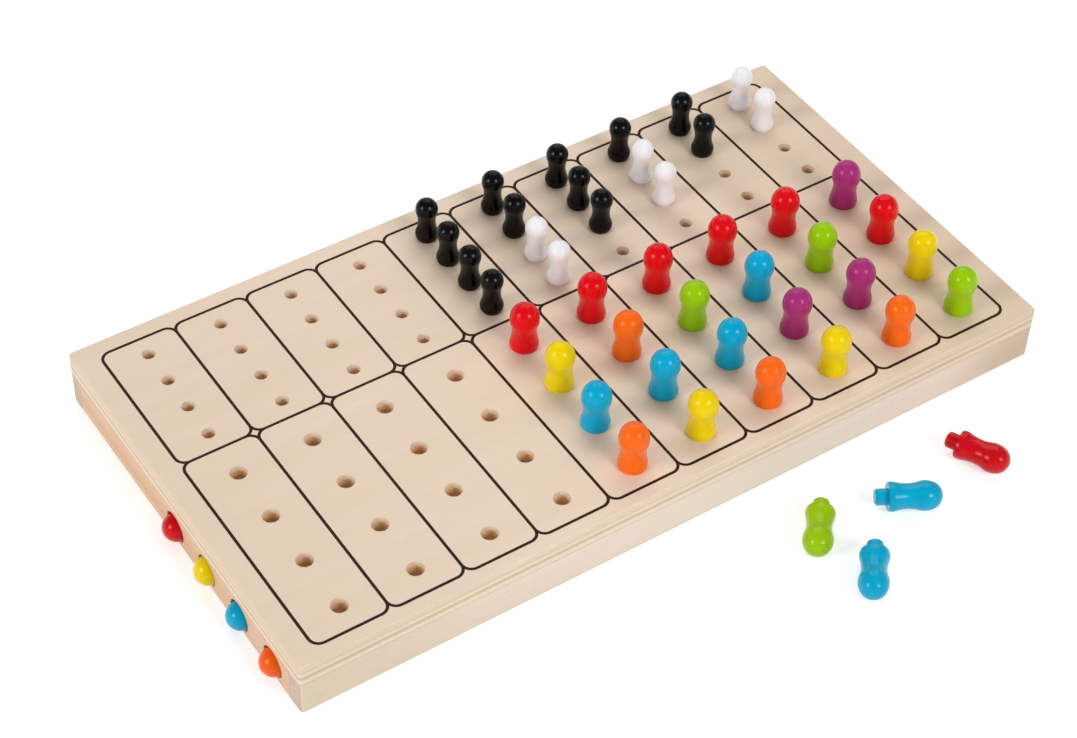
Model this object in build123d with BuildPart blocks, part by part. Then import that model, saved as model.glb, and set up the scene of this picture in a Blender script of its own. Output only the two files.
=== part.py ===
from build123d import *
import os
from math import asin, atan2, degrees, sin, sqrt

# A wooden code-breaking peg game. Turned pegs stand in a drilled plywood board, which is the top
# of a shallow glued box. Four bores in the left end hold the secret code, and a rebated lid slides
# along grooves under the board to close the space that the pegs are stored in.
# Frame: origin below the middle of the board, on the plane that the walls stand on. +X runs
# along the ten columns to the right, +Y to the back and +Z up. Millimetres.

# ---- driving dimensions --------------------------------------------------------------------
# box
box_length = 320.0
box_width = 172.0
wall_height = 15.0
board_thickness = 9.0
wall_thickness = 8.0
corner_radius = 1.4
board_edge_radius = 0.8
foot_edge_radius = 0.6

# peg holes: ten columns, each with four code holes in front and four key holes behind
column_count = 10
column_pitch = 30.0
holes_per_column = 4
code_hole_radius = 3.2
code_hole_pitch = 23.5
code_field_y = -34.25
key_hole_radius = 2.5
key_hole_pitch = 15.5
key_field_y = 46.65
hole_depth = 6.5

# end block with the bores for the secret code
code_block_length = 23.0
code_bore_radius = 6.1
code_bore_depth = 20.8
code_bore_row_y = -31.45
code_bore_z = wall_height / 2

# sliding lid, its rebated edges and the grooves that hold them
lid_thickness = 3.0
lid_tongue_thickness = 1.6
lid_tongue_width = 2.6
groove_lip = 1.4
groove_height = 2.0
groove_depth = 3.0
lid_side_gap = 0.3
lid_face_gap = 0.2
thumb_notch_radius = 11.0
thumb_notch_depth = 0.7
thumb_notch_tilt = 4.0
thumb_notch_inset = 16.0

# turned pegs, measured up from the shoulder that sits on the board. Each of the foot and the head
# has a widest place, and the radius of the arc that runs from there to the waist
tenon_length = 4.8
tenon_end_chamfer = 0.7
code_peg = {
    "height": 20.2,
    "head_radius": 5.65,
    "head_rise": 6.5,
    "head_curve": 8.0,
    "waist_radius": 4.7,
    "waist_height": 7.6,
    "foot_radius": 5.55,
    "foot_curve": 5.0,
    "foot_widest": 1.5,
    "tenon_radius": 3.1,
}
key_peg = {
    "height": 19.1,
    "head_radius": 4.4,
    "head_rise": 4.6,
    "head_curve": 5.5,
    "waist_radius": 3.45,
    "waist_height": 8.2,
    "foot_radius": 4.6,
    "foot_curve": 4.0,
    "foot_widest": 2.2,
    "tenon_radius": 2.2,
}

# the secret code: how far its heads stand out, and how far the pegs sink in their loose bores
code_head_showing = 4.8
code_peg_drop = 0.4

# ---- where the pegs are --------------------------------------------------------------------
# columns count from 1 at the left, and a column is read from its back hole to its front hole
code_pegs = {
    5: ["red", "yellow", "blue", "orange"],
    6: ["red", "orange", "blue", "yellow"],
    7: ["red", "green", "blue", "orange"],
    8: ["red", "blue", "purple", "yellow"],
    9: ["red", "green", "purple", "orange"],
    10: ["purple", "red", "yellow", "green"],
}
key_pegs = {
    5: ["black", "black", "black", "black"],
    6: ["black", "black", "white", "white"],
    7: ["black", "black", "black"],
    8: ["black", "white", "white"],
    9: ["black", "black"],
    10: ["white", "white"],
}
secret_pegs = ["red", "yellow", "blue", "orange"]

# spare code pegs that lie before the box: colour, shoulder x and y, and the way the head points
spare_pegs = [
    ("green", 39.8, -111.0, -131.7),
    ("blue", 44.1, -136.8, -130.4),
    ("blue", 64.6, -118.4, -29.8),
    ("red", 103.5, -112.0, -64.4),
]

# ---- worked out from the above -------------------------------------------------------------
board_top = wall_height + board_thickness
inner_width = box_width - 2 * wall_thickness
block_inner_x = code_block_length - box_length / 2
groove_top = groove_lip + groove_height
groove_length = box_length / 2 - block_inner_x
os.makedirs("parts", exist_ok=True)


def column_x(column):
    return (column - (column_count + 1) / 2) * column_pitch


def hole_y(field_y, pitch, place):
    """Centre of a hole, place 0 being the back hole of its column."""
    return field_y + ((holes_per_column - 1) / 2 - place) * pitch


def save(piece, name):
    piece.label = name
    export_step(piece, f"parts/{name}.step")


# ---- board: drilled plywood with rounded corners and a softened top edge -------------------
with BuildPart() as top_board:
    with BuildSketch(Plane.XY.offset(wall_height)):
        RectangleRounded(box_length, box_width, corner_radius)
    extrude(amount=board_thickness)
    fillet(top_board.edges().group_by(Axis.Z)[-1], radius=board_edge_radius)
    with Locations((0, code_field_y, board_top)):
        with GridLocations(column_pitch, code_hole_pitch, column_count, holes_per_column):
            Hole(radius=code_hole_radius, depth=hole_depth)
    with Locations((0, key_field_y, board_top)):
        with GridLocations(column_pitch, key_hole_pitch, column_count, holes_per_column):
            Hole(radius=key_hole_radius, depth=hole_depth)
save(top_board.part, "top_board")

# ---- long walls: full length, so their end grain shows at the corners ----------------------
with BuildPart() as front_wall:
    with BuildSketch():
        with Locations((0, -box_width / 2)):
            Rectangle(box_length, wall_thickness, align=(Align.CENTER, Align.MIN))
        fillet(vertices().group_by(Axis.Y)[0], radius=corner_radius)
    extrude(amount=wall_height)
    outer_edges = front_wall.edges().group_by(Axis.Z)[0].filter_by(
        lambda edge: edge.center().Y < wall_thickness / 2 - box_width / 2
    )
    fillet(outer_edges, radius=foot_edge_radius)
    with Locations((block_inner_x, -inner_width / 2, groove_lip)):
        Box(
            groove_length,
            2 * groove_depth,
            groove_height,
            align=(Align.MIN, Align.CENTER, Align.MIN),
            mode=Mode.SUBTRACT,
        )
save(front_wall.part, "front_wall")

with BuildPart() as back_wall:
    mirror(front_wall.part, about=Plane.XZ)
save(back_wall.part, "back_wall")

# ---- left end: a thick block with four blind bores for the secret code ---------------------
with BuildPart() as code_block:
    with Locations((-box_length / 2, 0, 0)):
        Box(
            code_block_length,
            inner_width,
            wall_height,
            align=(Align.MIN, Align.CENTER, Align.MIN),
        )
    outer_foot = code_block.edges().filter_by(Axis.Y).group_by(Axis.Z)[0].sort_by(Axis.X)[0]
    fillet(outer_foot, radius=foot_edge_radius)
    with BuildSketch(Plane.YZ.offset(-box_length / 2)):
        with Locations((code_bore_row_y, code_bore_z)):
            with GridLocations(code_hole_pitch, code_hole_pitch, holes_per_column, 1):
                Circle(code_bore_radius)
    extrude(amount=code_bore_depth, mode=Mode.SUBTRACT)
save(code_block.part, "code_block")

# ---- right end: a shallower wall that the lid slides out under -----------------------------
with BuildPart() as right_wall:
    with Locations((box_length / 2, 0, groove_top)):
        Box(
            wall_thickness,
            inner_width,
            wall_height - groove_top,
            align=(Align.MAX, Align.CENTER, Align.MIN),
        )
save(right_wall.part, "right_wall")

# ---- sliding lid: rebated long edges run in the grooves, and a thumb notch pulls it --------
lid_length = groove_length - lid_side_gap
lid_panel_width = inner_width - 2 * lid_side_gap
lid_top = lid_face_gap + lid_thickness
thumb_notch_x = box_length / 2 - thumb_notch_inset - thumb_notch_radius
thumb_notch_z = lid_face_gap + thumb_notch_depth
with BuildPart() as sliding_lid:
    with BuildSketch(Plane.YZ.offset(block_inner_x + lid_side_gap)):
        with Locations((0, lid_face_gap)):
            Rectangle(lid_panel_width, lid_thickness, align=(Align.CENTER, Align.MIN))
        with Locations((0, lid_top)):
            Rectangle(
                lid_panel_width + 2 * lid_tongue_width,
                lid_tongue_thickness,
                align=(Align.CENTER, Align.MAX),
            )
    extrude(amount=lid_length)
    with Locations(Location((thumb_notch_x, 0, thumb_notch_z), (0, -thumb_notch_tilt, 0))):
        Cylinder(
            thumb_notch_radius,
            wall_height,
            align=(Align.CENTER, Align.CENTER, Align.MAX),
            mode=Mode.SUBTRACT,
        )
save(sliding_lid.part, "sliding_lid")


# ---- turned pegs ---------------------------------------------------------------------------
def touching_arc(waist_radius, bulge_radius, bulge_curve, rise):
    """Radius of a waist arc that just touches the arc of the head or foot, whose widest place is
    rise away from the waist, and the angle to the level at which the two arcs touch."""
    reach = waist_radius - bulge_radius + bulge_curve
    curve = (reach**2 + rise**2 - bulge_curve**2) / (2 * (bulge_radius - waist_radius))
    return curve, degrees(asin(rise / (curve + bulge_curve)))


def turned_peg(sizes):
    """A peg revolved about Z with its shoulder at z = 0: a tenon, a round foot, a hollow waist and
    an egg-shaped head, with smooth tangents from the foot to the tip."""
    height, head_radius, head_rise, head_curve = [
        sizes[k] for k in ("height", "head_radius", "head_rise", "head_curve")
    ]
    foot_radius, foot_curve, foot_widest = [
        sizes[k] for k in ("foot_radius", "foot_curve", "foot_widest")
    ]
    waist_radius, waist_height = sizes["waist_radius"], sizes["waist_height"]
    tenon_radius = sizes["tenon_radius"]
    head_height = height - head_rise
    neck_curve, neck_angle = touching_arc(
        waist_radius, head_radius, head_curve, head_height - waist_height
    )
    shin_curve, shin_angle = touching_arc(
        waist_radius, foot_radius, foot_curve, waist_height - foot_widest
    )
    crown_radius = (head_curve**2 - (head_curve - head_radius) ** 2 - head_rise**2) / (
        2 * (head_curve - head_rise)
    )
    crown_height = height - crown_radius
    crown_angle = degrees(atan2(crown_height - head_height, head_curve - head_radius))
    sole_angle = degrees(asin(foot_widest / foot_curve))
    sole_radius = foot_radius - foot_curve + sqrt(foot_curve**2 - foot_widest**2)
    with BuildPart() as peg:
        with BuildSketch(Plane.XZ):
            with BuildLine():
                Polyline(
                    (0, height),
                    (0, -tenon_length),
                    (tenon_radius - tenon_end_chamfer, -tenon_length),
                    (tenon_radius, tenon_end_chamfer - tenon_length),
                    (tenon_radius, 0),
                    (sole_radius, 0),
                )
                CenterArc(
                    (foot_radius - foot_curve, foot_widest),
                    foot_curve,
                    start_angle=-sole_angle,
                    arc_size=sole_angle + shin_angle,
                )
                CenterArc(
                    (waist_radius + shin_curve, waist_height),
                    shin_curve,
                    start_angle=180 + shin_angle,
                    arc_size=-shin_angle,
                )
                CenterArc(
                    (waist_radius + neck_curve, waist_height),
                    neck_curve,
                    start_angle=180,
                    arc_size=-neck_angle,
                )
                CenterArc(
                    (head_radius - head_curve, head_height),
                    head_curve,
                    start_angle=-neck_angle,
                    arc_size=neck_angle + crown_angle,
                )
                CenterArc(
                    (0, crown_height),
                    crown_radius,
                    start_angle=crown_angle,
                    arc_size=90 - crown_angle,
                )
            make_face()
        revolve(axis=Axis.Z)
    return peg.part


def stand_pegs(kind, sizes, columns, field_y, pitch):
    """Stands one peg in each filled hole of each column."""
    peg = turned_peg(sizes)
    for column, colours in columns.items():
        for place, colour in enumerate(colours):
            spot = Location((column_x(column), hole_y(field_y, pitch, place), board_top))
            save(peg.moved(spot), f"{kind}_peg_c{column}_h{place + 1}_{colour}")


stand_pegs("code", code_peg, code_pegs, code_field_y, code_hole_pitch)
stand_pegs("key", key_peg, key_pegs, key_field_y, key_hole_pitch)

# the secret code lies in the end bores, tenon first, with its heads standing out of the block
loose_peg = turned_peg(code_peg)
secret_shoulder_x = code_peg["height"] - code_head_showing - box_length / 2
for place, colour in enumerate(secret_pegs):
    bore_y = hole_y(code_bore_row_y, code_hole_pitch, place)
    spot = Location((secret_shoulder_x, bore_y, code_bore_z - code_peg_drop), (0, -90, 0))
    save(loose_peg.moved(spot), f"secret_peg_{place + 1}_{colour}")

# a spare peg lies on its head and its foot, so its axis slopes a little
head_to_foot = code_peg["height"] - code_peg["head_rise"] - code_peg["foot_widest"]
lying_slope = asin((code_peg["head_radius"] - code_peg["foot_radius"]) / head_to_foot)
shoulder_z = code_peg["foot_radius"] - code_peg["foot_widest"] * sin(lying_slope)
lean = Location((0, 0, 0), (0, 90 - degrees(lying_slope), 0))
for number, (colour, x, y, heading) in enumerate(spare_pegs, start=1):
    spot = Location((x, y, shoulder_z), (0, 0, heading)) * lean
    save(loose_peg.moved(spot), f"spare_peg_{number}_{colour}")
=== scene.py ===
import math

import bpy
from mathutils import Euler, Matrix, Vector


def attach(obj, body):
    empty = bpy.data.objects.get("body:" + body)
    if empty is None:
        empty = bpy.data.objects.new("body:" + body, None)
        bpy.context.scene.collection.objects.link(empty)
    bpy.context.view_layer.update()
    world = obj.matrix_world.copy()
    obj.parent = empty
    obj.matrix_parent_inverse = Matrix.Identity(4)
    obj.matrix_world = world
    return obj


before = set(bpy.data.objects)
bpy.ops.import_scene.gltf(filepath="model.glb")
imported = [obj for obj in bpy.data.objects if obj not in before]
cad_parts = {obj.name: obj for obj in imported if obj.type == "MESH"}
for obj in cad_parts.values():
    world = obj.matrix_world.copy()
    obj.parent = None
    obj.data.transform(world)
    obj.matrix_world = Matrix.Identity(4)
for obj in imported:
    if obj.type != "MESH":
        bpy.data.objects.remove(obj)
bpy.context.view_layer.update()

MM = 0.001

# Sizes of the CAD nodes, in millimetres: how high each panel's top lies, and each peg's width and length.
BOARD_TOP = 24.0
BOARD_THICKNESS = 9.0
LID_TOP = 3.2
LID_THICKNESS = 3.0
COLUMNS = 10
COLUMN_PITCH = 30.0
CODE_PEG_SIZE = (11.3, 11.3, 25.0)
KEY_PEG_SIZE = (9.15, 9.15, 23.9)

# Upright faces of the board nearer its middle than this are walls of holes. The lid has only its notch.
DRILLED_REACH = (157, 83)
NOT_DRILLED = (0, 0)

# How far apart the growth rings on the sawn ends are drawn, in millimetres.
RING_SPACING = 13.2

# Painted shade along the box, as the light on it falls off toward each end: where each end lies, where the
# shade has faded out, and the shade.
BOARD_PAINTED_SHADE = ((-157, -60, "#FAF9F8"), (157, 60, "#F6F3EF"))
LONG_WALL_PAINTED_SHADE = ((-157, -40, "#F0F0E6"), (157, 110, "#DFD4C7"))

# The printed lines: where their middles run, how wide they are and how round each cell's corners are.
FIRST_LINE_X = -150.87
LINES_Y = (-80.35, 14.8, 78.6)
LINE_WIDTH = 1.15
CELL_CORNER = 4.0
INK_THICKNESS = 0.04

# The eight lacquers of the pegs. Black and white are the key pegs'.
LACQUERS = {
    "red": "#E00410",
    "yellow": "#EDD000",
    "blue": "#00A6D0",
    "orange": "#FA6A10",
    "green": "#98C600",
    "purple": "#A62E74",
    "black": "#030303",
    "white": "#F2F0F3",
}

# Pegs that lie down: the middle of the shoulder in millimetres, the way the head points, and the shade of the
# lacquer. Most shades are a little darker than the same lacquer on a standing peg: painted shade, which makes
# up for lamps that light these pegs more than they should.
LYING_PEGS = {
    "secret_peg_1_red": ((-144.6, 3.8, 7.1), -180.0, "#CE0612"),
    "secret_peg_2_yellow": ((-144.6, -19.7, 7.1), -180.0, "#EDD000"),
    "secret_peg_3_blue": ((-144.6, -43.2, 7.1), -180.0, "#00A2CC"),
    "secret_peg_4_orange": ((-144.6, -66.7, 7.1), -180.0, "#F4600E"),
    "spare_peg_1_green": ((39.8, -111.0, 5.54), -131.7, "#94BE00"),
    "spare_peg_2_blue": ((44.1, -136.8, 5.54), -130.4, "#00A2C8"),
    "spare_peg_3_blue": ((64.6, -118.4, 5.54), -29.8, "#00A2C8"),
    "spare_peg_4_red": ((103.5, -112.0, 5.54), -64.4, "#C60616"),
}


def linear(code):
    """Turns an sRGB hex colour into the linear values that shaders take."""
    parts = [int(code[i : i + 2], 16) / 255 for i in (1, 3, 5)]
    return [p / 12.92 if p <= 0.04045 else ((p + 0.055) / 1.055) ** 2.4 for p in parts] + [1.0]


def add(tree, kind, feeds, **settings):
    """Adds a node with its settings. feeds gives inputs, by place or name, a value, a node or a socket."""
    node = tree.nodes.new("ShaderNode" + kind)
    for name, value in settings.items():
        setattr(node, name, value)
    inputs = [socket for socket in node.inputs if socket.enabled]
    for key, value in feeds.items():
        socket = inputs[key] if isinstance(key, int) else node.inputs[key]
        if isinstance(value, bpy.types.Node):
            value = next(out for out in value.outputs if out.enabled)
        if isinstance(value, bpy.types.NodeSocket):
            tree.links.new(value, socket)
        else:
            socket.default_value = value
    return node


def blank(name):
    """A new material with an empty node tree."""
    material = bpy.data.materials.new(name)
    material.use_nodes = True
    material.node_tree.nodes.clear()
    return material, material.node_tree


def per_mm(x, y, z):
    """Scale that makes one turn of a pattern as long as given, in millimetres, along each axis."""
    return (1000 / x, 1000 / y, 1000 / z)


# ---------------------------------------------------------------- wood

def wood_grain(tree, place, along, figure_mm=(190, 16), fibre_mm=(26, 0.55), pore_mm=(5, 0.4)):
    """Figure, fibres and pores of a pale close-grained wood, each from 0 to 1, with the grain along one
    axis. Each pattern has its length and width. Real fibres are far finer and are drawn coarser to show."""
    grain = []
    patterns = ((figure_mm, 3.0, 0.7), (fibre_mm, 3.0, 0.0), (pore_mm, 1.0, 0.0))
    for (length, width), detail, distortion in patterns:
        size = [width] * 3
        size["xyz".index(along)] = length
        spread = add(tree, "Mapping", {"Vector": place, "Scale": per_mm(*size)})
        noise = add(
            tree, "TexNoise",
            {"Vector": spread, "Scale": 1.0, "Detail": detail, "Roughness": 0.55, "Distortion": distortion},
        )
        grain.append(noise)
    figure, fibre, pore_noise = grain
    pore = add(tree, "MapRange", {0: pore_noise, 1: 0.62, 2: 0.78, 3: 0.0, 4: 1.0})
    return figure, fibre, pore


def matt_varnish(tree, colour, fibre, pore, roughest):
    """One thin coat of matt varnish over sanded wood. Fibres stand a few hundredths of a millimetre proud,
    pores are sunk, and every arris is softened."""
    relief = add(tree, "Math", {0: fibre, 1: pore}, operation="SUBTRACT")
    soft = add(tree, "Bevel", {"Radius": 0.5 * MM}, samples=6)
    bumped = add(tree, "Bump", {"Strength": 0.35, "Distance": 0.03 * MM, "Height": relief, "Normal": soft})
    rough = add(tree, "MapRange", {0: fibre, 1: 0.2, 2: 0.8, 3: 0.5, 4: roughest})
    shader = add(
        tree, "BsdfPrincipled", {"Base Color": colour, "Roughness": rough, "IOR": 1.45, "Normal": bumped}
    )
    add(tree, "OutputMaterial", {0: shader})


def paint_end_shade(tree, place, colour, ends):
    """Darkens the wood toward each end of the box with painted shade, where the light on the box falls off.
    It matches the levels to the eye, and whether the wood or the light on it makes the drift isn't known."""
    across = add(tree, "SeparateXYZ", {0: place}).outputs["X"]
    for end, clear, tint in ends:
        share = add(
            tree, "MapRange", {0: across, 1: end * MM, 2: clear * MM, 3: 1.0, 4: 0.0},
            interpolation_type="SMOOTHSTEP",
        )
        colour = add(
            tree, "Mix", {0: share, 1: colour, 2: linear(tint)}, data_type="RGBA", blend_type="MULTIPLY"
        )
    return colour


def plywood(name, top, thickness, drilled_reach):
    """Plywood faced with rotary-cut basswood, sanded and given one thin coat of matt varnish. The face is
    a pale cream with faint long figure. Its edge shows the plies as fine stripes, and drilled walls are
    browner."""
    material, tree = blank(name)
    coords = add(tree, "TexCoord", {})
    place, facing = coords.outputs["Object"], coords.outputs["Normal"]
    figure, fibre, pore = wood_grain(tree, place, "x")

    # Face veneer: broad figure about 16 mm wide, then fibres drawn at half a millimetre.
    figured = add(tree, "MapRange", {0: figure, 1: 0.3, 2: 0.7})
    face = add(tree, "Mix", {0: figured, 1: linear("#EAD5BF"), 2: linear("#E5CFB8")}, data_type="RGBA")
    fibred = add(tree, "MapRange", {0: fibre, 1: 0.3, 2: 0.75, 3: 0.0, 4: 0.22})
    face = add(tree, "Mix", {0: fibred, 1: face, 2: linear("#DCC5AC")}, data_type="RGBA")
    pored = add(tree, "Math", {0: pore, 1: 0.2}, operation="MULTIPLY")
    face = add(tree, "Mix", {0: pored, 1: face, 2: linear("#C9AE92")}, data_type="RGBA")

    # Edge: five plies in the thickness. A cross ply shows its cut ends, which soak up varnish and go dark.
    height = add(tree, "SeparateXYZ", {0: place}).outputs["Z"]
    waves = add(tree, "Mapping", {"Vector": place, "Scale": per_mm(30, 30, 400)})
    wavy = add(tree, "TexNoise", {"Vector": waves, "Scale": 1.0})
    wander = add(tree, "MapRange", {0: wavy, 1: 0.0, 2: 1.0, 3: -0.25 * MM, 4: 0.25 * MM})
    depth = add(tree, "Math", {0: top * MM, 1: height}, operation="SUBTRACT")
    depth = add(tree, "Math", {0: depth, 1: wander}, operation="ADD")
    plies = add(tree, "ValToRGB", {0: add(tree, "Math", {0: depth, 1: thickness * MM}, operation="DIVIDE")})
    ramp = plies.color_ramp
    # The faintly paler band a quarter of the way down is a painted highlight along the top's rounded edge.
    stops = (
        (0.00, "#E6D0B8"), (0.24, "#E9D3BC"), (0.29, "#D8C0A5"), (0.34, "#E6D0B8"), (0.52, "#F2DEC8"),
        (0.57, "#D3B999"), (0.68, "#D8C0A2"), (0.75, "#F0DBC4"), (0.93, "#F1DDC8"), (1.00, "#D6BEA4"),
    )
    while len(ramp.elements) < len(stops):
        ramp.elements.new(0.5)
    for element, (position, colour) in zip(ramp.elements, stops):
        element.position = position
        element.color = linear(colour)
    cut = add(tree, "Mapping", {"Vector": place, "Scale": per_mm(0.9, 0.9, 2.5)})
    cut_ends = add(tree, "TexNoise", {"Vector": cut, "Scale": 1.0, "Detail": 2.0})
    soaked = add(tree, "MapRange", {0: cut_ends, 1: 0.45, 2: 0.8, 3: 0.0, 4: 0.3})
    edge = add(tree, "Mix", {0: soaked, 1: plies, 2: linear("#D9C2A8")}, data_type="RGBA")

    # A hole is pale at its mouth, and browner down its wall and on its floor.
    spot = add(tree, "SeparateXYZ", {0: add(tree, "VectorMath", {0: place}, operation="ABSOLUTE")})
    inside_x = add(tree, "Math", {0: spot.outputs["X"], 1: drilled_reach[0] * MM}, operation="LESS_THAN")
    inside_y = add(tree, "Math", {0: spot.outputs["Y"], 1: drilled_reach[1] * MM}, operation="LESS_THAN")
    inside = add(tree, "Math", {0: inside_x, 1: inside_y}, operation="MULTIPLY")
    deep = add(tree, "MapRange", {0: depth, 1: 1.5 * MM, 2: 3.2 * MM})
    drilled = add(tree, "Mix", {0: deep, 1: linear("#F2DDC6"), 2: linear("#E8BE8C")}, data_type="RGBA")
    drilled = add(tree, "Mix", {0: 0.3, 1: drilled, 2: edge}, data_type="RGBA")
    edge = add(tree, "Mix", {0: inside, 1: edge, 2: drilled}, data_type="RGBA")

    # The faces are the level surfaces, but for the floors of the holes.
    upright = add(tree, "SeparateXYZ", {0: facing}).outputs["Z"]
    upright = add(tree, "Math", {0: upright}, operation="ABSOLUTE")
    is_face = add(tree, "MapRange", {0: upright, 1: 0.55, 2: 0.9})
    below = add(tree, "Math", {0: depth, 1: 1.5 * MM}, operation="GREATER_THAN")
    above = add(tree, "Math", {0: depth, 1: (thickness - 1) * MM}, operation="LESS_THAN")
    sunk = add(tree, "Math", {0: below, 1: above}, operation="MULTIPLY")
    is_face = add(tree, "Math", {0: is_face, 1: sunk}, operation="SUBTRACT", use_clamp=True)
    colour = add(tree, "Mix", {0: is_face, 1: edge, 2: face}, data_type="RGBA")
    # The board and the lid darken toward the box's ends with painted shade.
    matt_varnish(tree, paint_end_shade(tree, place, colour, BOARD_PAINTED_SHADE), fibre, pore, 0.62)
    return material


def wall_wood(name, along, pale, dark, end_pale, end_dark, end_shade=()):
    """Solid basswood or alder, planed and sanded, with one thin coat of matt varnish. The sides show
    straight faint grain, and the sawn ends show pale growth rings and open pores."""
    material, tree = blank(name)
    coords = add(tree, "TexCoord", {})
    place, facing = coords.outputs["Object"], coords.outputs["Normal"]
    figure, fibre, pore = wood_grain(tree, place, along, figure_mm=(160, 7), fibre_mm=(30, 0.6))
    figured = add(tree, "MapRange", {0: figure, 1: 0.3, 2: 0.72})
    side = add(tree, "Mix", {0: figured, 1: linear(pale), 2: linear(dark)}, data_type="RGBA")
    fibred = add(tree, "MapRange", {0: fibre, 1: 0.35, 2: 0.75, 3: 0.0, 4: 0.5})
    side = add(tree, "Mix", {0: fibred, 1: side, 2: linear(dark)}, data_type="RGBA")
    pored = add(tree, "Math", {0: pore, 1: 0.3}, operation="MULTIPLY")
    side = add(tree, "Mix", {0: pored, 1: side, 2: linear("#B08E6E")}, data_type="RGBA")
    # The long walls darken toward the box's ends with painted shade.
    side = paint_end_shade(tree, place, side, end_shade) if end_shade else side

    # Growth rings on the ends, drawn much broader than real ones and curved round a heart above the box.
    # At a scale of one, a wave repeats every 2 pi / 20 of a metre.
    ring_scale = math.pi / 10 / (RING_SPACING * MM)
    spread = [1.0] * 3
    spread["xyz".index(along)] = 0.02
    centre = [0.03, 0.02, -0.06]
    centre["xyz".index(along)] = 0.0
    seen = add(tree, "Mapping", {"Vector": place, "Location": centre, "Scale": spread})
    rings = add(
        tree, "TexWave",
        {"Vector": seen, "Scale": ring_scale, "Distortion": 1.2, "Detail": 2.0, "Detail Scale": 3.0},
        wave_type="RINGS", rings_direction="SPHERICAL", wave_profile="SAW",
    )
    speck = add(tree, "TexNoise", {"Vector": place, "Scale": 1000 / 0.7, "Detail": 2.0})
    ringed = add(tree, "MapRange", {0: rings, 3: 0.0, 4: 0.7})
    ends = add(tree, "Mix", {0: ringed, 1: linear(end_pale), 2: linear(end_dark)}, data_type="RGBA")
    specked = add(tree, "MapRange", {0: speck, 1: 0.55, 2: 0.75, 3: 0.0, 4: 0.4})
    ends = add(tree, "Mix", {0: specked, 1: ends, 2: linear(end_dark)}, data_type="RGBA")
    toward = add(tree, "SeparateXYZ", {0: facing}).outputs["XYZ"["xyz".index(along)]]
    toward = add(tree, "Math", {0: toward}, operation="ABSOLUTE")
    is_end = add(tree, "MapRange", {0: toward, 1: 0.6, 2: 0.85})
    colour = add(tree, "Mix", {0: is_end, 1: side, 2: ends}, data_type="RGBA")
    matt_varnish(tree, colour, fibre, pore, 0.64)
    return material


# ---------------------------------------------------------------- pegs

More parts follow.
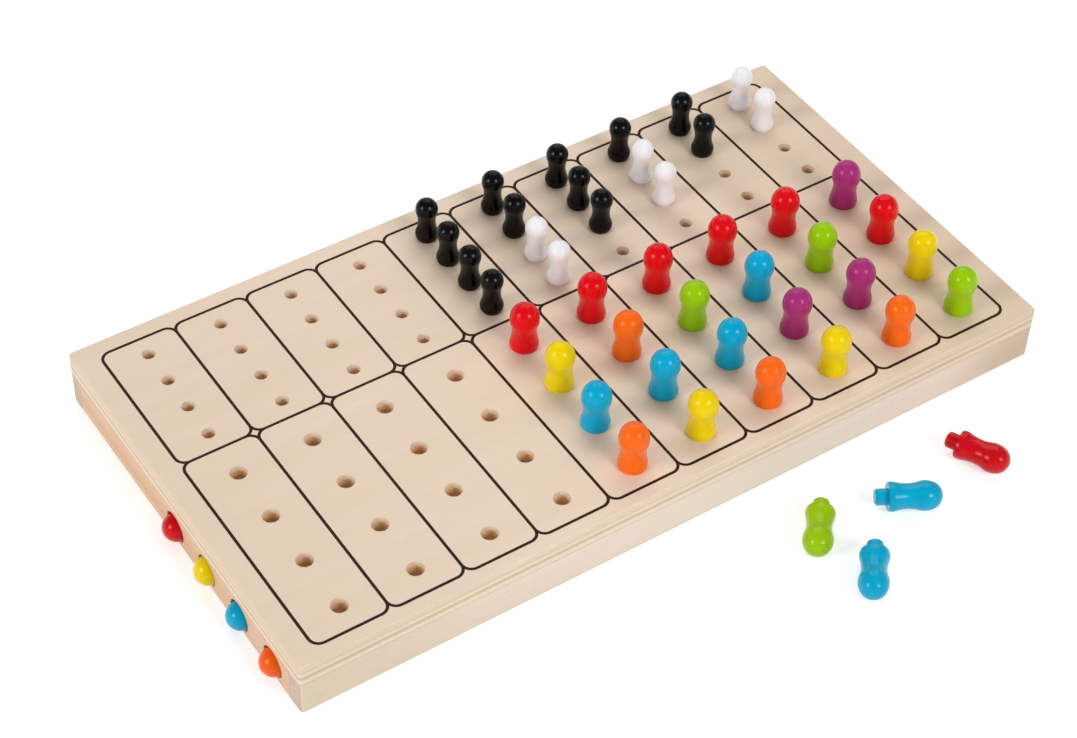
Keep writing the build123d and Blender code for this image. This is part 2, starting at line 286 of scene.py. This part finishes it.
def peg_lacquer(name, colour, size=None, lie=None):
    """Turned beech dipped in coloured lacquer. It is glossy, with the lathe's rings and the fibres just
    felt through the coat, a slight orange peel, and a small nub where the peg was parted from its rod.
    A standing peg gives its size, and one that lies gives where its shoulder is and where its head points."""
    material, tree = blank(name)
    coords = add(tree, "TexCoord", {})
    if size:
        generated = coords.outputs["Generated"]
        middle = add(tree, "VectorMath", {0: generated, 1: (0.5, 0.5, 0.0)}, operation="SUBTRACT")
        place = add(tree, "VectorMath", {0: middle, 1: [s * MM for s in size]}, operation="MULTIPLY")
    else:
        where, heading = lie
        turn = Euler((0.0, math.radians(90), math.radians(heading)))
        place = add(
            tree, "Mapping",
            {"Vector": coords.outputs["Object"], "Location": [c * MM for c in where], "Rotation": turn},
            vector_type="TEXTURE",
        )
    own = add(tree, "ObjectInfo", {}).outputs["Random"]
    own = add(tree, "Math", {0: own, 1: 3.0}, operation="MULTIPLY")
    shift = add(tree, "VectorMath", {0: place, 1: own}, operation="ADD")

    # Fibres along the peg and the lathe's rings across it, both drawn coarser than they are to show.
    long_way = add(tree, "Mapping", {"Vector": shift, "Scale": per_mm(0.7, 0.7, 14)})
    fibre = add(tree, "TexNoise", {"Vector": long_way, "Scale": 1.0, "Detail": 3.0})
    round_it = add(tree, "Mapping", {"Vector": shift, "Scale": per_mm(60, 60, 0.55)})
    rings = add(tree, "TexNoise", {"Vector": round_it, "Scale": 1.0, "Detail": 2.0})
    peel = add(tree, "TexNoise", {"Vector": shift, "Scale": 1000 / 1.6, "Detail": 1.0})
    cloud = add(tree, "TexNoise", {"Vector": shift, "Scale": 1000 / 6, "Detail": 2.0})

    # A coloured coat has a lacquer's usual IOR and shines partly in its own colour. White and black coats
    # shine white, and an IOR below a real lacquer's keeps their gloss down.
    coat_ior, sheen = 1.45, [0.35 + 0.65 * c for c in linear(colour)]
    if name.endswith("white"):
        coat_ior, sheen = 1.34, [1.0] * 4
    elif name.endswith("black"):
        coat_ior, sheen = 1.26, [1.0] * 4

    # The coat's colour drifts a little with the fibres and in soft clouds of about six millimetres.
    deep = [c * 0.92 for c in linear(colour)[:3]] + [1.0]
    bright = [min(1.0, c * 1.04 + 0.002) for c in linear(colour)[:3]] + [1.0]
    fibre_part = add(tree, "Math", {0: fibre, 1: 0.45}, operation="MULTIPLY")
    cloud_part = add(tree, "Math", {0: cloud, 1: 0.75}, operation="MULTIPLY")
    drift = add(tree, "Math", {0: fibre_part, 1: cloud_part}, operation="ADD")
    drift = add(tree, "MapRange", {0: drift, 1: 0.35, 2: 0.85})
    tint = add(tree, "Mix", {0: drift, 1: bright, 2: deep}, data_type="RGBA")

    # Relief: rings of about half a millimetre, fibres of under one, and peel of a millimetre and a half.
    fine = add(tree, "Math", {0: fibre, 1: 0.5, 2: peel}, operation="MULTIPLY_ADD")
    relief = add(tree, "Math", {0: rings, 1: 0.5, 2: fine}, operation="MULTIPLY_ADD")
    across = add(tree, "VectorMath", {0: place, 1: (1.0, 1.0, 0.0)}, operation="MULTIPLY")
    radius = add(tree, "VectorMath", {0: across}, operation="LENGTH").outputs["Value"]
    nub = add(tree, "MapRange", {0: radius, 1: 0.45 * MM, 2: 0.8 * MM, 3: 1.0, 4: 0.0})
    along = add(tree, "SeparateXYZ", {0: place}).outputs["Z"]
    at_head = add(tree, "Math", {0: along, 1: 15 * MM}, operation="GREATER_THAN")
    nub = add(tree, "Math", {0: nub, 1: at_head}, operation="MULTIPLY")
    nub_bump = add(tree, "Bump", {"Strength": 0.5, "Distance": 0.15 * MM, "Height": nub})
    bumped = add(
        tree, "Bump", {"Strength": 0.15, "Distance": 0.012 * MM, "Height": relief, "Normal": nub_bump}
    )
    rough = add(tree, "MapRange", {0: cloud, 1: 0.25, 2: 0.75, 3: 0.17, 4: 0.21})
    shader = add(
        tree, "BsdfPrincipled",
        {"Base Color": tint, "Roughness": rough, "IOR": coat_ior, "Specular Tint": sheen, "Normal": bumped},
    )
    add(tree, "OutputMaterial", {0: shader})
    return material


# ---------------------------------------------------------------- printed lines

def printing_ink():
    """Dark brown ink, screen-printed on the veneer. It is thin, so the fibres break it up, and an IOR
    below a real ink's keeps it dull."""
    material, tree = blank("screen_printing_ink")
    place = add(tree, "TexCoord", {}).outputs["Object"]
    fibre = wood_grain(tree, place, "x")[1]
    worn = add(tree, "MapRange", {0: fibre, 1: 0.3, 2: 0.75})
    colour = add(tree, "Mix", {0: worn, 1: linear("#2A1405"), 2: linear("#371F0D")}, data_type="RGBA")
    bumped = add(tree, "Bump", {"Strength": 0.4, "Distance": 0.03 * MM, "Height": fibre})
    shader = add(
        tree, "BsdfPrincipled", {"Base Color": colour, "Roughness": 0.6, "IOR": 1.25, "Normal": bumped}
    )
    add(tree, "OutputMaterial", {0: shader})
    return material


def arc(centre_x, centre_y, radius, start, end, steps=8):
    """Points along an arc, with its angles in degrees."""
    angles = [math.radians(start + (end - start) * i / steps) for i in range(steps + 1)]
    return [(centre_x + radius * math.cos(a), centre_y + radius * math.sin(a)) for a in angles]


def printed_grid():
    """The printed lines as one flat layer of ink: ten columns of two cells, each a rounded rectangle that
    shares its sides with its neighbours."""
    half = LINE_WIDTH / 2
    inner, outer = CELL_CORNER - half, CELL_CORNER + half
    xs = [FIRST_LINE_X + COLUMN_PITCH * i for i in range(COLUMNS + 1)]
    # Where two neighbouring corners' outer edges meet, as an angle from the line between their centres.
    meet = math.degrees(math.acos(CELL_CORNER / outer))
    loops = []

    # The bare wood inside each cell.
    for left, right in zip(xs, xs[1:]):
        for low, high in zip(LINES_Y, LINES_Y[1:]):
            west, east = left + CELL_CORNER, right - CELL_CORNER
            south, north = low + CELL_CORNER, high - CELL_CORNER
            loops.append(
                arc(east, south, inner, -90, 0) + arc(east, north, inner, 0, 90)
                + arc(west, north, inner, 90, 180) + arc(west, south, inner, 180, 270)
            )

    # The small four-pointed gaps where four cells meet.
    for x in xs[1:-1]:
        y, c = LINES_Y[1], CELL_CORNER
        loops.append(
            arc(x + c, y + c, outer, 270 - meet, 180 + meet)[:-1]
            + arc(x - c, y + c, outer, -meet, -90 + meet)[:-1]
            + arc(x - c, y - c, outer, 90 - meet, meet)[:-1]
            + arc(x + c, y - c, outer, 180 - meet, 90 + meet)[:-1]
        )

    # The outline of the whole print, which dips in at each line's end. Where two arcs meet in a dip, the
    # first leaves out the point that they share.
    c, bottom, middle, top = CELL_CORNER, *LINES_Y
    first, last = xs[0], xs[-1]
    outline = []
    for left, right in zip(xs, xs[1:]):
        outline += arc(left + c, bottom + c, outer, 180 if left == first else 180 + meet, 270)
        if right == last:
            outline += arc(right - c, bottom + c, outer, 270, 360)
        else:
            outline += arc(right - c, bottom + c, outer, 270, 360 - meet)[:-1]
    outline += arc(last - c, middle - c, outer, 0, 90 - meet)[:-1]
    outline += arc(last - c, middle + c, outer, -90 + meet, 0)
    for left, right in reversed(list(zip(xs, xs[1:]))):
        outline += arc(right - c, top - c, outer, 0 if right == last else meet, 90)
        if left == first:
            outline += arc(left + c, top - c, outer, 90, 180)
        else:
            outline += arc(left + c, top - c, outer, 90, 180 - meet)[:-1]
    outline += arc(first + c, middle + c, outer, 180, 270 - meet)[:-1]
    outline += arc(first + c, middle - c, outer, 90 + meet, 180)
    loops.append(outline)

    curve = bpy.data.curves.new("printed_grid_outline", "CURVE")
    curve.dimensions = "2D"
    curve.fill_mode = "BOTH"
    curve.extrude = INK_THICKNESS / 2 * MM
    for loop in loops:
        spline = curve.splines.new("POLY")
        spline.points.add(len(loop) - 1)
        for point, (x, y) in zip(spline.points, loop):
            point.co = (x * MM, y * MM, 0.0, 1.0)
        spline.use_cyclic_u = True
    outline_object = bpy.data.objects.new("printed_grid_outline", curve)
    mesh = bpy.data.meshes.new_from_object(outline_object)
    bpy.data.objects.remove(outline_object)
    bpy.data.curves.remove(curve)
    mesh.transform(Matrix.Translation((0.0, 0.0, (BOARD_TOP + INK_THICKNESS / 2) * MM)))
    grid = bpy.data.objects.new("printed_grid", mesh)
    bpy.context.collection.objects.link(grid)
    mesh.materials.clear()
    mesh.materials.append(printing_ink())
    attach(grid, "box")


# ---------------------------------------------------------------- finishes on the CAD nodes

def dress(node, material):
    """Gives a CAD node its material in every slot."""
    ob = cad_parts[node]
    for slot in ob.material_slots:
        slot.material = material


long_wall = wall_wood(
    "varnished_basswood_long_wall", "x", "#EFDFCF", "#EAD8C6", "#D0B8A7", "#C1A693", LONG_WALL_PAINTED_SHADE
)
end_wall = wall_wood("varnished_basswood_end_wall", "y", "#E8D3BC", "#DCC2A6", "#E6CDB8", "#D2B498")
block_wood = wall_wood("varnished_alder_block", "y", "#E6C4A6", "#D9AE8A", "#DDB797", "#C9997A")
dress("top_board", plywood("varnished_basswood_plywood_board", BOARD_TOP, BOARD_THICKNESS, DRILLED_REACH))
dress("front_wall", long_wall)
dress("back_wall", long_wall)
dress("right_wall", end_wall)
dress("code_block", block_wood)
dress("sliding_lid", plywood("varnished_basswood_plywood_lid", LID_TOP, LID_THICKNESS, NOT_DRILLED))

standing_lacquers = {}
for colour, code in LACQUERS.items():
    size = KEY_PEG_SIZE if colour in ("black", "white") else CODE_PEG_SIZE
    standing_lacquers[colour] = peg_lacquer("glossy_lacquer_" + colour, code, size)
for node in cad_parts:
    if node in LYING_PEGS:
        where, heading, shade = LYING_PEGS[node]
        dress(node, peg_lacquer("glossy_lacquer_" + node, shade, lie=(where, heading)))
    elif node.startswith(("code_peg", "key_peg")):
        dress(node, standing_lacquers[node.rsplit("_", 1)[-1]])

printed_grid()


# ---------------------------------------------------------------- stage, lamps and camera

def floor():
    """A wide white card. It carries the shadows; camera, glossy and transmission rays see it white."""
    mesh = bpy.data.meshes.new("floor_card")
    reach = 9.0
    corners = [(-reach, -reach, 0), (reach, -reach, 0), (reach, reach, 0), (-reach, reach, 0)]
    mesh.from_pydata(corners, [], [(0, 1, 2, 3)])
    card = bpy.data.objects.new("floor_card", mesh)
    bpy.context.collection.objects.link(card)
    material, tree = blank("white_card")
    ray = add(tree, "LightPath", {}).outputs
    seen = add(tree, "Math", {0: ray["Is Camera Ray"], 1: ray["Is Glossy Ray"]}, operation="MAXIMUM")
    seen = add(tree, "Math", {0: seen, 1: ray["Is Transmission Ray"]}, operation="MAXIMUM")
    # Far from the lamps the card gets little light, so its glow rises and keeps it white to the horizon.
    away = add(tree, "VectorMath", {0: add(tree, "TexCoord", {}).outputs["Object"]}, operation="LENGTH")
    level = add(tree, "MapRange", {0: away.outputs["Value"], 1: 0.8, 2: 2.4, 3: 0.45, 4: 0.85})
    strength = add(tree, "Math", {0: seen, 1: level}, operation="MULTIPLY")
    glow = add(tree, "Emission", {"Color": linear("#FFFFFF"), "Strength": strength})
    paper = add(tree, "BsdfDiffuse", {"Color": linear("#E6E6E6")})
    add(tree, "OutputMaterial", {0: add(tree, "AddShader", {0: paper, 1: glow})})
    mesh.materials.append(material)


def softbox(name, direction, distance, width, height, radiance):
    """An area lamp aimed at the middle of the board. Its power follows from how bright its face is."""
    lamp = bpy.data.lights.new(name, "AREA")
    lamp.shape = "RECTANGLE"
    lamp.size = width
    lamp.size_y = height
    lamp.energy = math.pi * width * height * radiance
    ob = bpy.data.objects.new(name, lamp)
    bpy.context.collection.objects.link(ob)
    toward = Vector(direction).normalized()
    ob.location = toward * distance
    ob.rotation_mode = "QUATERNION"
    ob.rotation_quaternion = toward.to_track_quat("Z", "Y")


def studio_world():
    """Even fill from all round: white near the horizon, like the sweep behind a table, and dim overhead."""
    world = bpy.data.worlds.new("studio")
    world.use_nodes = True
    tree = world.node_tree
    tree.nodes.clear()
    direction = add(tree, "TexCoord", {}).outputs["Generated"]
    height = add(tree, "SeparateXYZ", {0: direction}).outputs["Z"]
    level = add(tree, "MapRange", {0: height, 1: 0.05, 2: 0.45, 3: 1.0, 4: 0.27})
    add(tree, "OutputWorld", {0: add(tree, "Background", {"Color": linear("#FFFFFF"), "Strength": level})})
    bpy.context.scene.world = world


floor()
studio_world()
softbox("left_softbox", (-0.871, 0.026, 0.490), distance=2.6, width=0.95, height=0.95, radiance=10.0)
softbox("right_softbox", (0.148, -0.795, 0.588), distance=2.6, width=0.95, height=0.95, radiance=10.0)
softbox("back_softbox", (0.365, 0.529, 0.766), distance=2.4, width=2.2, height=1.6, radiance=1.8)

# The camera looks down at 46 degrees, from the front left corner. Its place is in metres.
CAMERA_PLACE = (-0.38406, -0.54294, 0.68981)
LENS = 84.265
LOOKING_DOWN, HEADING, ROLL = 45.916, 34.649, 1.918
camera = bpy.data.objects.new("camera", bpy.data.cameras.new("camera"))
bpy.context.collection.objects.link(camera)
camera.data.sensor_fit = "HORIZONTAL"
camera.data.sensor_width = 36.0
camera.data.lens = LENS
down, heading, roll = math.radians(LOOKING_DOWN), math.radians(HEADING), math.radians(ROLL)
ahead = Vector((math.cos(down) * math.sin(heading), math.cos(down) * math.cos(heading), -math.sin(down)))
level_right = ahead.cross(Vector((0, 0, 1))).normalized()
level_up = level_right.cross(ahead)
right = level_right * math.cos(roll) + level_up * math.sin(roll)
up = level_up * math.cos(roll) - level_right * math.sin(roll)
turn = Matrix((right, up, -ahead)).transposed().to_4x4()
camera.matrix_world = Matrix.Translation(CAMERA_PLACE) @ turn
bpy.context.scene.camera = camera
bpy.context.scene.view_settings.view_transform = "Standard"
